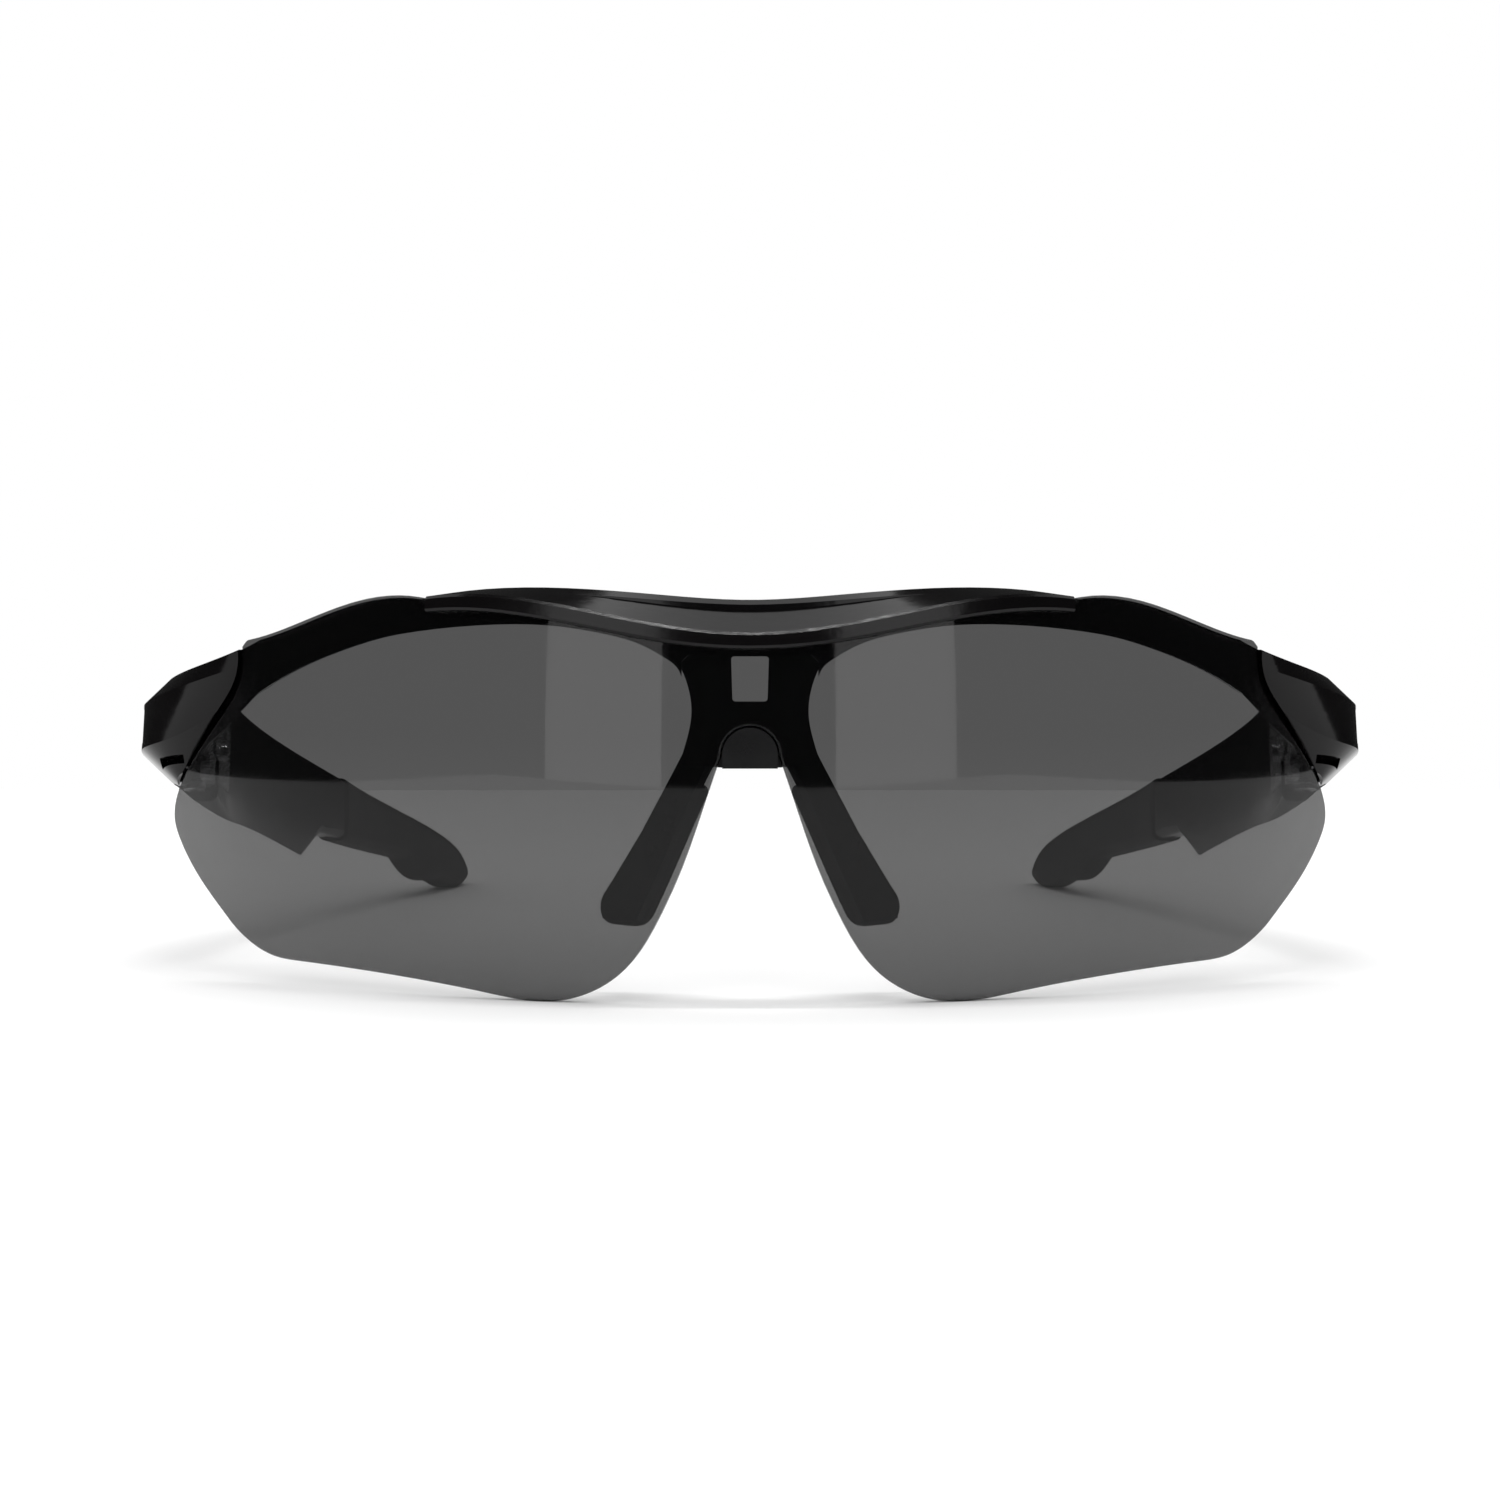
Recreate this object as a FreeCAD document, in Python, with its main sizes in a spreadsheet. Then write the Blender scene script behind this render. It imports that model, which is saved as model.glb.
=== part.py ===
import FreeCAD, Part
import math
import os

import Sketcher

# Wraparound sport sunglasses: one shield lens, a brow frame, a nose bridge and two folding temples.
# Axes: +X is the wearer's left, +Y points back towards the ears, +Z is up.
# The glasses stand as they rest on a table, on the shield's two lower edges and the temple tips.
# They are drawn with the shield's foremost point at y = 0, and moved at the end so that the origin is
# the middle of the footprint at table height.

Vector = FreeCAD.Vector
doc = FreeCAD.newDocument("sport_sunglasses")

# ------------------------------------------------------------ driving dimensions, in millimetres
SIZES = [
    ("lens_plan_radius", 82.0, "front of the shield, seen from above"),
    ("lens_side_radius", 220.0, "front of the shield, seen from the side"),
    ("lens_mid_height", 22.0, "height of the shield's foremost point"),
    ("lens_thickness", 2.0, "shield thickness"),
    ("lens_half_width", 67.3, "middle to the outermost point of the shield"),
    ("lens_wing_height", 44.2, "highest point of the shield, on its outer thirds"),
    ("lens_corner_inset", 10.3, "shield's upper outer corner, inside its outermost point"),
    ("lens_gap", 0.1, "between the shield and the pieces around it"),
    ("lens_edge_round", 0.3, "rounding of the shield's ground edge"),
    ("notch_radius", 3.1, "round top of the shield's nose notch"),
    ("notch_height", 27.0, "centre of that round top"),
    ("lens_channel", 0.6, "open channel in the endpieces around the shield's edge"),
    ("bar_half_length", 35.0, "middle to the end of the brow bar"),
    ("bar_proud", 1.9, "brow bar in front of the shield"),
    ("bar_hold", 0.45, "edge of the shield held behind the bar"),
    ("bar_bevel", 0.3, "bevel along the bar's upper edge"),
    ("frame_wall", 2.9, "brow frame behind the shield"),
    ("bridge_half_width", 7.4, "nose bridge plate, middle to side"),
    ("bridge_drop", 6.5, "top of the bridge plate, below the top of the shield"),
    ("bridge_wall", 2.6, "nose bridge plate"),
    ("bridge_gap", 0.02, "between the bridge plate and the brow frame"),
    ("window_half_width", 2.05, "window through the bridge plate"),
    ("window_height", 4.95, "window through the bridge plate"),
    ("window_round", 0.35, "rounding of the window's corners"),
    ("tab_half_width", 3.8, "tab above the window"),
    ("leg_thickness", 1.1, "nose leg behind the shield"),
    ("pad_thickness", 2.2, "soft nose pad"),
    ("pad_gap", 0.1, "between a nose pad and its leg"),
    ("pad_round", 0.8, "rounding of the nose pads"),
    ("pad_corner", 2.2, "rounded lower corners of the nose pads, seen from the front"),
    ("half_width", 71.8, "middle to the outer side of an endpiece"),
    ("hinge_inset", 6.2, "hinge axis, inside the endpiece's outer side"),
    ("hinge_back", 41.5, "hinge axis, behind the shield's foremost point"),
    ("hinge_drop", 17.6, "middle of the hinge, below the top of the shield"),
    ("block_inner", 2.4, "hinge axis to the inner side of the endpiece and temple"),
    ("block_above", 8.3, "hinge middle to the top of the endpiece and temple"),
    ("block_below", 6.3, "hinge middle to the underside of the endpiece and temple"),
    ("bay_radius", 2.35, "round bay for the hinge knuckles"),
    ("bay_top", 6.0, "closed top of the bay, above the hinge middle"),
    ("bay_reach", 2.8, "inner side cut back either side of the axis, so that the temple folds"),
    ("parting_gap", 0.1, "endpiece to temple at the open stop"),
    ("knuckle_radius", 2.05, "hinge knuckles"),
    ("knuckle_half_height", 5.4, "hinge middle to the outer ends of the knuckles"),
    ("middle_knuckle_half", 1.9, "half the height of the middle knuckle"),
    ("knuckle_gap", 0.1, "between knuckles"),
    ("pin_radius", 0.7, "hinge screw shank"),
    ("pin_clearance", 0.03, "hinge screw in its bores"),
    ("screw_head_radius", 1.3, "hinge screw head"),
    ("screw_head_height", 0.6, "hinge screw head"),
    ("leaf_thickness", 1.1, "hinge leaves"),
    ("leaf_clearance", 0.03, "hinge leaves in their recesses"),
    ("leaf_screw_radius", 0.6, "leaf screw shank"),
    ("leaf_screw_length", 3.4, "leaf screw under its head"),
    ("leaf_head_radius", 1.1, "leaf screw head"),
    ("leaf_head_height", 0.5, "leaf screw head"),
    ("temple_length", 112.0, "hinge axis to the end of the tip, along the temple"),
    ("tip_start", 61.0, "hinge axis to the front of the soft tip"),
    ("tip_proud", 0.3, "soft tip over the temple on each side"),
    ("tang_half_thickness", 0.8, "temple core inside the soft tip"),
    ("tang_length", 32.0, "temple core inside the soft tip"),
    ("tang_gap", 0.1, "end of the core to the end of its seat"),
    ("tang_clearance", 0.02, "temple core in its seat, all round"),
    ("inlay_depth", 0.9, "recess for the side panel"),
    ("inlay_thickness", 0.4, "side panel"),
    ("inlay_gap", 0.05, "side panel in its recess"),
    ("inlay_start", 2.0, "hinge axis to the front of the side panel"),
    ("inlay_end", 34.0, "hinge axis to the back of the side panel"),
    ("temple_round", 0.9, "rounding of the temple's long edges"),
    ("tip_round", 1.2, "rounding of the soft tip"),
]

sheet = doc.addObject("Spreadsheet::Sheet", "Sizes")
for row, (alias, value, meaning) in enumerate(SIZES, start=1):
    sheet.set("A%d" % row, alias)
    sheet.set("B%d" % row, str(value))
    sheet.set("C%d" % row, meaning)
    sheet.setAlias("B%d" % row, alias)
doc.recompute()


def size(alias):
    return float(sheet.get(alias))


R_PLAN = size("lens_plan_radius")
R_SIDE = size("lens_side_radius")
LENS_MID = size("lens_mid_height")
LENS_T = size("lens_thickness")
HALF_LENS = size("lens_half_width")
BROW = size("lens_wing_height")
CORNER_X = HALF_LENS - size("lens_corner_inset")
BAR_END = size("bar_half_length")
BEHIND_LENS = -(LENS_T + size("lens_gap"))
WALL_BACK = BEHIND_LENS - size("frame_wall")
FAR = 30.0
THROUGH = ("-80", "80")
BLANK = ("-20", "20")
NEAR = 0.05
SIDES = {"left": 1.0, "right": -1.0}


# ------------------------------------------------------------ helpers
def mix(a, b, share):
    return a + (b - a) * share


def smooth_line(points):
    """A smooth function through (position, value) points, given in rising order of position."""
    curve = Part.BSplineCurve()
    curve.interpolate(
        Points=[Vector(p, v, 0) for p, v in points],
        Parameters=[p for p, v in points],
    )
    return lambda position: curve.value(position).y


def mirrored_line(points):
    """The same for a line that is symmetric about x = 0, given for x >= 0."""
    return smooth_line([(-x, z) for x, z in reversed(points) if x > 0] + list(points))


def spread(low, high, count):
    return [mix(low, high, i / (count - 1)) for i in range(count)]


def shell_radius(z, offset):
    """Plan radius at height z of the surface that lies offset in front of the shield's front face."""
    return R_PLAN - R_SIDE + math.sqrt((R_SIDE + offset) ** 2 - (z - LENS_MID) ** 2)


def shell_point(x, offset, z):
    """Point on that surface, on the radial plane where the shield's front would be at x."""
    angle = math.asin(x / R_PLAN)
    radius = shell_radius(z, offset)
    return Vector(radius * math.sin(angle), R_PLAN - radius * math.cos(angle), z)


def shell_spot(x, offset, z):
    """Point on that surface straight behind (x, z) of the front view."""
    return Vector(x, R_PLAN - math.sqrt(shell_radius(z, offset) ** 2 - x**2), z)


def run_edge(points):
    """A line through two points, or a smooth curve through more."""
    if len(points) == 2:
        return Part.LineSegment(*points)
    curve = Part.BSplineCurve()
    curve.interpolate(points)
    return curve


def polygon_loft(sections):
    wires = [Part.makePolygon(list(points) + [points[0]]) for points in sections]
    return Part.makeLoft(wires, True, False)


def mirror_x(shape):
    return shape.mirror(Vector(0, 0, 0), Vector(1, 0, 0))


def shape_node(name, shape):
    node = doc.addObject("Part::Feature", name)
    node.Label = name
    node.Shape = shape
    return node


def body_node(name):
    body = doc.addObject("PartDesign::Body", name)
    body.Label = name
    return body


def sketch_in(body, name, plane, loops):
    """Sketch on one of the body's origin planes. A loop is a list of runs of two or more points."""
    sketch = body.newObject("Sketcher::SketchObject", name)
    role = plane + "_Plane"
    support = next(item for item in body.Origin.OriginFeatures if item.Role == role)
    sketch.AttachmentSupport = [(support, "")]
    sketch.MapMode = "FlatFace"
    for loop in loops:
        for run in loop:
            sketch.addGeometry(run_edge([Vector(a, b, 0) for a, b in run]), False)
    return sketch


def circle_in(body, name, plane, centre, radius):
    """Sketch of one circle, whose radius is an expression on the sheet."""
    sketch = sketch_in(body, name, plane, [])
    sketch.addGeometry(Part.Circle(Vector(centre[0], centre[1], 0), Vector(0, 0, 1), 1.0), False)
    index = sketch.addConstraint(Sketcher.Constraint("Radius", 0, 1.0))
    sketch.setExpression("Constraints[%d]" % index, radius)
    return sketch


def slab(body, kind, sketch, low, high):
    """Pad or Pocket between two heights along the positive axis across the sketch plane."""
    faces_back = sketch.AttachmentSupport[0][0].Role == "XZ_Plane"
    sketch.setExpression("AttachmentOffset.Base.z", "-(%s)" % high if faces_back else low)
    feature = body.newObject("PartDesign::" + kind, sketch.Name + "_" + kind.lower())
    feature.Profile = sketch
    feature.setExpression("Length", "(%s) - (%s)" % (high, low))
    feature.Reversed = kind == "Pocket"
    before = 0.0 if body.Shape.isNull() else body.Shape.Volume
    doc.recompute()
    grew = body.Shape.Volume > before
    if grew != (kind == "Pad"):
        raise RuntimeError("%s has no effect on %s" % (feature.Name, body.Label))
    return feature


def box_loop(low, high):
    corners = [low, (high[0], low[1]), high, (low[0], high[1])]
    return [[corners[i], corners[(i + 1) % 4]] for i in range(4)]


def closed_loop(points):
    return [[points[i], points[(i + 1) % len(points)]] for i in range(len(points))]


def round_edges(body, name, radius, wanted):
    """Fillet on every edge of the body's tip for which wanted(edge) is true."""
    base = body.Tip
    edges = ["Edge%d" % i for i, edge in enumerate(base.Shape.Edges, start=1) if wanted(edge)]
    fillet = body.newObject("PartDesign::Fillet", name)
    fillet.Base = (base, edges)
    fillet.setExpression("Radius", radius)
    doc.recompute()


# ------------------------------------------------------------ shield lens
bar_low = mirrored_line([(0, BROW - 5.7), (11.7, BROW - 4.6), (21.5, BROW - 2.7), (BAR_END, BROW - 1.9)])
bar_high = mirrored_line([(0, BROW - 4.0), (10.7, BROW - 2.9), (21.5, BROW - 0.8), (BAR_END, BROW - 0.25)])
rear_top = mirrored_line([(0, BROW - 0.6), (11.0, BROW), (23.0, BROW + 0.7), (BAR_END, BROW + 0.1)])
wing_top = smooth_line([
    (BAR_END + 1.4, BROW - 0.3),
    (BAR_END + 3.4, BROW - 0.1),
    (mix(BAR_END, CORNER_X, 0.5), BROW - 1.55),
    (CORNER_X, BROW - 5.3),
])
WING_START = BAR_END + 1.4
STEP_X = BAR_END + 0.4
LENS_HOLD = size("bar_hold")


def lens_outline(grow):
    """Front outline of the shield, as runs of (x, z) for x >= 0 from the top middle to the notch's top."""
    edge = HALF_LENS + grow
    top = BROW + grow
    corner = (CORNER_X + grow, wing_top(CORNER_X) + grow)
    bar = [(x, bar_low(x) + LENS_HOLD + grow) for x in spread(0, STEP_X, 5)]
    wing = [(x, wing_top(x) + grow) for x in spread(WING_START, CORNER_X, 4)][:-1] + [corner]
    outer = [
        (edge - 9.5, top - 6.3),
        (edge - 8.8, top - 11.1),
        (edge - 6.9, top - 14.0),
        (edge - 2.9, 25.0),
        (edge - 0.2, 19.9),
        (edge, 17.6),
        (edge - 0.9, 15.1),
        (edge - 3.7, 10.9),
        (edge - 7.7, 6.5),
    ]
    lobe_x = 21.7
    bottom = [
        outer[-1],
        (edge - 10.3, 4.4),
        (edge - 12.9, 3.2 - grow),
        (edge - 16.7, 2.8 - grow),
        (mix(lobe_x, edge - 16.7, 0.62), 2.1 - grow),
        (mix(lobe_x, edge - 16.7, 0.25), 0.7 - grow),
        (lobe_x, -grow),
        (18.4, 0.7 - grow),
        (14.0 - grow, 3.3),
        (9.7 - grow, 9.6),
        (7.5 - grow, 14.4),
        (5.4 - grow, 20.2),
        (size("notch_radius") - grow, size("notch_height")),
    ]
    return [bar, [bar[-1], wing[0]], wing, [corner, outer[0]], outer, bottom]


def front_prism(runs, middle=()):
    """Solid that runs straight back through the whole shield, from a symmetric front outline.

    The runs of (x, z) points are given for x >= 0, and middle holds (x, z) points of one arc across x = 0.
    """
    front = -FAR
    edges = []
    for side in SIDES.values():
        for run in runs:
            edges.append(run_edge([Vector(side * x, front, z) for x, z in run]).toShape())
    if middle:
        edges.append(Part.Arc(*[Vector(x, front, z) for x, z in middle]).toShape())
    wire = Part.Wire(Part.__sortEdges__(edges))
    return Part.Face(wire).extrude(Vector(0, R_PLAN + FAR, 0))


def lens_prism(grow):
    runs = lens_outline(grow)
    notch_x, notch_z = runs[-1][-1]
    return front_prism(runs, [(-notch_x, notch_z), (0, notch_z + notch_x), (notch_x, notch_z)])


def turned_face(offset, low, high):
    """Front half of the surface of revolution that lies offset in front of the shield."""
    heights = (low, mix(low, high, 0.5), high)
    arc = Part.Arc(*[Vector(0, R_PLAN - shell_radius(z, offset), z) for z in heights]).toShape()
    face = arc.revolve(Vector(0, R_PLAN, 0), Vector(0, 0, 1), 180)
    face.rotate(Vector(0, R_PLAN, 0), Vector(0, 0, 1), -90)
    return face


def make_lens():
    face = turned_face(0.0, -FAR / 2, BROW + FAR / 2).common(lens_prism(0.0)).Faces[0]
    lens = face.makeOffsetShape(-LENS_T, 1e-3, fill=True)
    rim = [edge for edge in lens.Edges if edge.Length > 3 * LENS_T]
    return lens.makeFillet(size("lens_edge_round"), rim).Solids[0]


def shell_band(outer, inner):
    """Half ring between the surfaces that lie at these two offsets in front of the shield."""
    low, high = -FAR / 2, BROW + FAR / 2
    arcs = []
    for offset in (outer, inner):
        heights = (low, mix(low, high, 0.5), high)
        arcs.append([Vector(0, R_PLAN - shell_radius(z, offset), z) for z in heights])
    front, back = arcs
    edges = [
        Part.Arc(*front).toShape(),
        Part.makeLine(front[2], back[2]),
        Part.Arc(*back).toShape(),
        Part.makeLine(back[0], front[0]),
    ]
    section = Part.Face(Part.Wire(Part.__sortEdges__(edges)))
    band = section.revolve(Vector(0, R_PLAN, 0), Vector(0, 0, 1), 180)
    band.rotate(Vector(0, R_PLAN, 0), Vector(0, 0, 1), -90)
    return band


shape_node("shield_lens", make_lens())
lens_room = shell_band(size("bar_proud") + 2.0, BEHIND_LENS).common(lens_prism(size("lens_channel")))

# ------------------------------------------------------------ brow frame
BRIDGE_X = size("bridge_half_width")
BRIDGE_TOP = BROW - size("bridge_drop")
BRIDGE_GAP = size("bridge_gap")
TAB_X = size("tab_half_width")
TAB_TOP = BRIDGE_TOP + 1.0
WALL_END = CORNER_X - 1.0
WALL_FOOT = BROW - 11.4
WING_HIDE = 0.35
REAR_BEVEL = 0.5


def wing_edge(x):
    """Top of the wall behind the shield's outer thirds, just hidden by the shield."""
    return wing_top(x) - WING_HIDE


def wall_outline():
    """Front outline of the wall behind the shield, as runs for x >= 0 from the top middle downwards."""
    crest = [(x, rear_top(x) - REAR_BEVEL) for x in spread(0, BAR_END, 6)]
    wing = [(x, wing_edge(x)) for x in spread(WING_START, WALL_END, 4)]
    lower = [
        (WALL_END, WALL_FOOT),
        (mix(BAR_END, CORNER_X, 0.70), BROW - 8.3),
        (mix(BAR_END, CORNER_X, 0.47), BROW - 6.3),
        (mix(BAR_END, CORNER_X, 0.26), BROW - 4.9),
        (mix(BAR_END, CORNER_X, 0.06), BROW - 4.1),
        (27.0, BROW - 3.3),
        (21.6, BROW - 3.4),
        (16.1, BROW - 4.2),
        (11.8, BROW - 5.4),
        (9.2, BROW - 6.8),
        (8.0, BROW - 7.7),
        (BRIDGE_X + BRIDGE_GAP, BRIDGE_TOP - 2.3),
    ]
    foot = [lower[-1], (0, lower[-1][1])]
    return [crest, [crest[-1], wing[0]], wing, [wing[-1], lower[0]], lower, foot]


def bar_section(x):
    """Section of the bar, the sloping top behind it and the hook over the shield's edge."""
    proud = size("bar_proud")
    bevel = size("bar_bevel")
    gap = size("lens_gap")
    groove_top = bar_low(x) + LENS_HOLD + gap
    inside_wall = mix(BEHIND_LENS, WALL_BACK, 0.5)
    corners = [
        (proud, bar_low(x) + 0.3),
        (proud, bar_high(x) - bevel),
        (proud - bevel, bar_high(x)),
        (WALL_BACK + 1.1, rear_top(x)),
        (WALL_BACK + 0.6, rear_top(x)),
        (WALL_BACK + 0.05, rear_top(x) - REAR_BEVEL - 0.1),
        (inside_wall, rear_top(x) - 3 * REAR_BEVEL),
        (inside_wall, groove_top),
        (gap, groove_top),
        (gap, bar_low(x)),
        (proud - 0.3, bar_low(x)),
    ]
    return [shell_point(x, offset, z) for offset, z in corners]


def plate_top(grow):
    """Upper outline of the bridge plate with its tab, from right to left, as (x, z) points."""
    wide = BRIDGE_X + grow
    tab = TAB_X + grow
    shoulder = 0.8
    taper = 0.6
    right = [
        (wide, BRIDGE_TOP - shoulder + grow),
        (wide - shoulder, BRIDGE_TOP + grow),
        (tab, BRIDGE_TOP + grow),
        (tab - taper, TAB_TOP + grow),
    ]
    return right + [(-x, z) for x, z in reversed(right)]


def make_frame():
    wall = shell_band(BEHIND_LENS, WALL_BACK).common(front_prism(wall_outline()))
    bar = polygon_loft([bar_section(x) for x in spread(-BAR_END, BAR_END, 21)])
    top = plate_top(BRIDGE_GAP)
    outline = [(top[0][0], 0.0)] + top + [(top[-1][0], 0.0)]
    notch = Part.Face(Part.makePolygon([Vector(x, 0, z) for x, z in outline + outline[:1]]))
    return wall.fuse(bar).removeSplitter().cut(notch.extrude(Vector(0, FAR, 0)))


shape_node("brow_frame", make_frame())

# ------------------------------------------------------------ hinge frame, shared by both sides
# Local x is sideways, y runs back along the temple and z runs up the hinge axis. The axis leans back so
# that the temple slopes down to the table, and so that a folded temple lies level behind the shield.
HINGE_X = size("half_width") - size("hinge_inset")
HINGE_Y = size("hinge_back")
HINGE_Z = BROW - size("hinge_drop")
LENGTH = size("temple_length")
REST_Y = LENGTH - 7.0
REST_Z = 0.62
TILT = math.degrees(math.asin(HINGE_Z / math.hypot(REST_Y, REST_Z)) + math.atan2(REST_Z, REST_Y))
OUTER = size("hinge_inset")
INNER = -size("block_inner")
TOP = size("block_above")
UNDER = -size("block_below")


def hinge_placement(side):
    turn = FreeCAD.Rotation(Vector(1, 0, 0), -TILT)
    return FreeCAD.Placement(Vector(side * HINGE_X, HINGE_Y, HINGE_Z), turn)


def hinge_point(x, y, z):
    """Left-hand hinge coordinates to the model's."""
    return hinge_placement(1.0).multVec(Vector(x, y, z))


# Seven corners shared by the endpiece's back and the temple's front: flat inner side and top, an upper
# and a lower slope, and the flat outer side between them.
CROWN = (OUTER - 6.4, TOP)
UPPER_SLOPE = [(OUTER - 2.8, TOP - 1.5), (OUTER, TOP - 4.4)]
LOWER_SLOPE = [(OUTER, UNDER + 4.5), (OUTER - 4.8, UNDER)]
JOINT_SECTION = [(INNER, TOP), CROWN] + UPPER_SLOPE + LOWER_SLOPE + [(INNER, UNDER)]


def endpiece_sections():
    """From the end of the wall, over a rib beside the shield's edge, to the hinge."""
    top = wing_edge(WALL_END)
    start = [
        shell_spot(WALL_END, WALL_BACK, top),
        shell_spot(WALL_END, mix(BEHIND_LENS, WALL_BACK, 0.4), top),
        shell_spot(WALL_END, BEHIND_LENS, top - 0.3),
        shell_spot(WALL_END, BEHIND_LENS, mix(WALL_FOOT, top, 0.65)),
        shell_spot(WALL_END, BEHIND_LENS, mix(WALL_FOOT, top, 0.35)),
        shell_spot(WALL_END, BEHIND_LENS, WALL_FOOT),
        shell_spot(WALL_END, WALL_BACK, WALL_FOOT),
    ]
    end = [hinge_point(x, 0.0, z) for x, z in JOINT_SECTION]
    rib_x = HALF_LENS - 7.0
    rib = [
        mix(start[0], end[0], 0.4),
        shell_point(rib_x - 0.1, -1.0, BROW - 6.8),
        shell_point(rib_x + 1.0, 0.8, BROW - 7.8),
        shell_point(rib_x + 1.7, 1.4, BROW - 9.9),
        shell_point(rib_x + 4.2, 1.4, BROW - 16.2),
        shell_point(rib_x + 5.6, -1.0, BROW - 19.9),
        mix(start[-1], end[-1], 0.5) + Vector(0.6, 0, 3.0),
    ]
    swell = [(0.0, 0.0), (0.4, -0.6), (0.9, -1.4), (1.2, -1.6), (1.2, -1.6), (0.9, -0.8), (0.0, 0.0)]
    cheek = []
    for before, after, (out, back) in zip(rib, end, swell):
        cheek.append(mix(before, after, 0.55) + Vector(out, back, 0))
    return [start, rib, cheek, end]


def hinge_box(low, high):
    extent = Vector(*high) - Vector(*low)
    return Part.makeBox(extent.x, extent.y, extent.z, Vector(*low))


def make_endpiece():
    block = polygon_loft(endpiece_sections()).cut(lens_room)
    reach = size("bay_reach")
    edge = size("leaf_clearance")
    bay = Part.makeCylinder(size("bay_radius"), FAR, Vector(0, 0, size("bay_top") - FAR))
    relief = hinge_box((-FAR, -reach, -FAR), (0, FAR, FAR))
    leaf_room = Part.Face(Part.makePolygon(
        [Vector(INNER - FAR, y, z) for y, z in FRONT_LEAF + FRONT_LEAF[:1]]
    )).extrude(Vector(FAR + size("leaf_thickness") + edge, 0, 0))
    screw_hole = Part.makeCylinder(
        size("leaf_screw_radius"),
        size("leaf_screw_length"),
        Vector(INNER, FRONT_SCREW[0], FRONT_SCREW[1]),
        Vector(1, 0, 0),
    )
    tools = []
    panel = hinge_box((OUTER - PANEL_STEP, -4.0, PANEL_LOW), (OUTER + FAR, FAR, PANEL_HIGH))
    slot = hinge_box(SLOT_LOW, SLOT_HIGH)
    for tool in (bay, relief, leaf_room, screw_hole, panel, slot):
        tool.Placement = hinge_placement(1.0).multiply(tool.Placement)
        tools.append(tool)
    return block.cut(tools)


LEAF_NECK = size("middle_knuckle_half") + size("knuckle_gap")
LEAF_REACH = size("bay_reach") - 0.1
LEAF_TOP = size("knuckle_half_height")
FRONT_LEAF = [
    (0.0, LEAF_TOP),
    (-6.4, LEAF_TOP),
    (-6.4, -LEAF_NECK),
    (-4.4, -LEAF_NECK - 1.0),
    (-4.4, -LEAF_TOP),
    (0.0, -LEAF_TOP),
]
FRONT_SCREW = (-4.6, 2.0)
PANEL_LOW = UNDER + 5.2
PANEL_HIGH = TOP - 4.8
PANEL_STEP = size("inlay_depth") - size("inlay_thickness")
SLOT_LOW = (0.2, -14.0, -4.2)
SLOT_HIGH = (3.3, -1.0, -3.4)

endpiece = make_endpiece()
for label, side in SIDES.items():
    shape_node("endpiece_" + label, endpiece if side > 0 else mirror_x(endpiece))


# ------------------------------------------------------------ nose bridge
def front_groove(body, name, offset):
    """Turn away what stands in front of the surface that lies offset in front of the shield."""
    low, high = -5.0, BROW + 5.0
    heights = (low, mix(low, high, 0.5), high)
    arc = [Vector(-shell_radius(z, offset), z, 0) for z in heights]
    far = -(R_PLAN + FAR)
    sketch = sketch_in(body, name, "YZ", [[
        [(arc[0].x, low), (far, low)],
        [(far, low), (far, high)],
        [(far, high), (arc[2].x, high)],
    ]])
    sketch.addGeometry(Part.Arc(arc[2], arc[1], arc[0]), False)
    sketch.setExpression("AttachmentOffset.Base.x", "Sizes.lens_plan_radius")
    groove = body.newObject("PartDesign::Groove", name + "_groove")
    groove.Profile = sketch
    groove.ReferenceAxis = (sketch, ["V_Axis"])
    groove.Angle = 360.0
    before = body.Shape.Volume
    doc.recompute()
    if body.Shape.Volume >= before:
        raise RuntimeError("the groove %s cuts nothing" % name)


def leg_section(side, inner_x, front_y, width, depth):
    """Plan section of a leg or pad: a strip turned outwards and back at 45 degrees."""
    along = Vector(side, 1, 0) * math.sqrt(0.5)
    across = Vector(-side, 1, 0) * math.sqrt(0.5)
    start = Vector(side * inner_x, front_y, 0)
    corners = [start, start + along * width, start + along * width + across * depth, start + across * depth]
    return closed_loop([(corner.x, corner.y) for corner in corners])


def loft_up(body, name, sections):
    """Loft through horizontal sections, given as (height, loop)."""
    sketches = []
    for number, (height, loop) in enumerate(sections):
        sketch = sketch_in(body, "%s_%d" % (name, number), "XY", [loop])
        sketch.AttachmentOffset = FreeCAD.Placement(Vector(0, 0, height), FreeCAD.Rotation())
        sketches.append(sketch)
    loft = body.newObject("PartDesign::AdditiveLoft", name)
    loft.Profile = sketches[0]
    loft.Sections = sketches[1:]
    doc.recompute()


# Each nose leg and its pad, by height: the leg's inner front corner (x, y), its width and the pad's width.
leg_x = smooth_line([(7.8, 12.9), (14.0, 10.0), (20.0, 7.4), (24.5, 5.3)])
leg_y = smooth_line([(7.8, 5.7), (14.0, 5.1), (20.0, 4.5), (24.5, 3.9)])
leg_width = smooth_line([(7.8, 5.2), (14.0, 5.6), (20.0, 5.0), (24.5, 4.6)])
pad_width = smooth_line([(7.8, 9.0), (14.0, 7.3), (20.0, 5.8), (24.5, 4.0)])
LEG_TOP = 24.5
LEG_FOOT = 8.6
LEG_ROOT = (28.5, 3.4, 3.3, 4.4, 1.9)
PAD_TOP = 23.5
PAD_FOOT = 7.8
PAD_INSET = 0.5
BOSS_GAP = 0.12
WINDOW_TAPER = 0.15
HOOK_RISE = 3.8
HOOK_WALL = 1.1


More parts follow.
